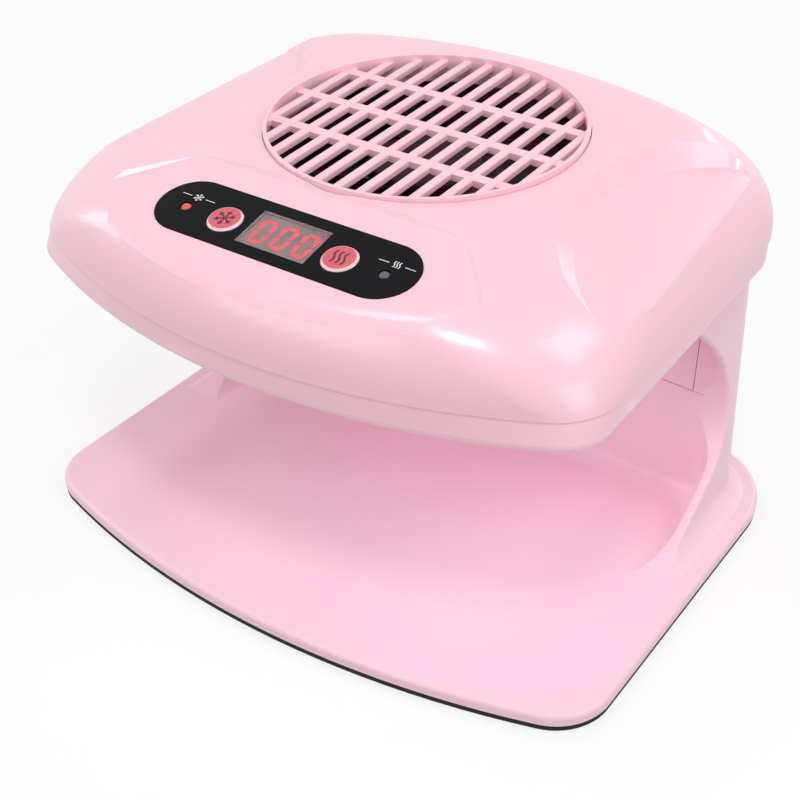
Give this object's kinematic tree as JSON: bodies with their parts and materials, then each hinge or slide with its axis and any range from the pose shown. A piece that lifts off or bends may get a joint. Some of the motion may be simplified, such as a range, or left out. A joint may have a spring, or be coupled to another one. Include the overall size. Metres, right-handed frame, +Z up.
{
  "type": "nail polish fan dryer",
  "caption": "Desktop nail dryer: tray base, hollow C-shaped column and blower head with intake grille, fan, heater, lamps, control panel and mains inlet.",
  "frame": {"origin": "middle of the overall width and depth, on the plane that the rubber feet stand on", "axes": "+Z up, -Y out of the front that carries the control panel, +X to the right seen from the front"},
  "size_m": [0.24, 0.21, 0.1579],
  "materials": {
    "component_black": "moulded",
    "coral_button": "coral red",
    "dark_base": "fine matte black",
    "display_red": "grey face with red digits",
    "fan_black": "satin black",
    "green_board": "green solder mask",
    "inlet_black": "moulded black",
    "lamp_grey": "unlit grey lens",
    "lamp_lens": "clear violet lens",
    "lamp_red": "lit red lens",
    "mica": "flaky mica",
    "motor_steel": "satin",
    "overlay_black": "gloss black",
    "pin_brass": "plated",
    "pink_shell": "glossy moulded pink",
    "resistance_wire": "drawn wire",
    "rubber": "matte",
    "screw_steel": "zinc plated",
    "smoked_window": "clear window",
    "switch_black": "moulded black",
    "transformer_steel": "laminated core",
    "white_board": "white solder mask"
  },
  "bodies": {
    "housing": {"base_plate": "dark_base", "base_screws": "screw_steel", "base_shell": "pink_shell", "board_standoffs": "pink_shell", "cold_switch": "switch_black", "column_panel": "pink_shell", "control_board": "green_board", "control_overlay": "overlay_black", "digit_display": "display_red", "display_window": "smoked_window", "fan_frame": "fan_black", "fan_motor": "motor_steel", "foot_left_front": "rubber", "foot_left_rear": "rubber", "foot_right_front": "rubber", "foot_right_rear": "rubber", "head_screws": "screw_steel", "heater_coil": "resistance_wire", "heater_frame": "mica", "hot_switch": "switch_black", "indicator_left": "lamp_red", "indicator_right": "lamp_grey", "inlet_pins": "pin_brass", "intake_grille": "pink_shell", "lamp_board": "white_board", "lamp_diodes": "lamp_lens", "lower_shell": "pink_shell", "mains_inlet": "inlet_black", "outlet_grille": "pink_shell", "power_board": "green_board", "power_components": "component_black", "transformer": "transformer_steel", "upper_shell": "pink_shell"},
    "impeller": {"fan_impeller": "fan_black"},
    "cold_button": {"cold_button": "coral_button"},
    "hot_button": {"hot_button": "coral_button"}
  },
  "joints": [
    {"name": "fan_spin", "type": "hinge", "parent": "housing", "child": "impeller", "pos_m": [0, 0.0051, 0.132], "axis": [0, 0, 1], "continuous": true},
    {"name": "cold_button_press", "type": "slide", "parent": "housing", "child": "cold_button", "axis": [0, -0.219, 0.9757], "range_m": [-0.0006, 0], "stiffness_N_per_m": 1200},
    {"name": "hot_button_press", "type": "slide", "parent": "housing", "child": "hot_button", "axis": [0, -0.219, 0.9757], "range_m": [-0.0006, 0], "stiffness_N_per_m": 1200}
  ]
}
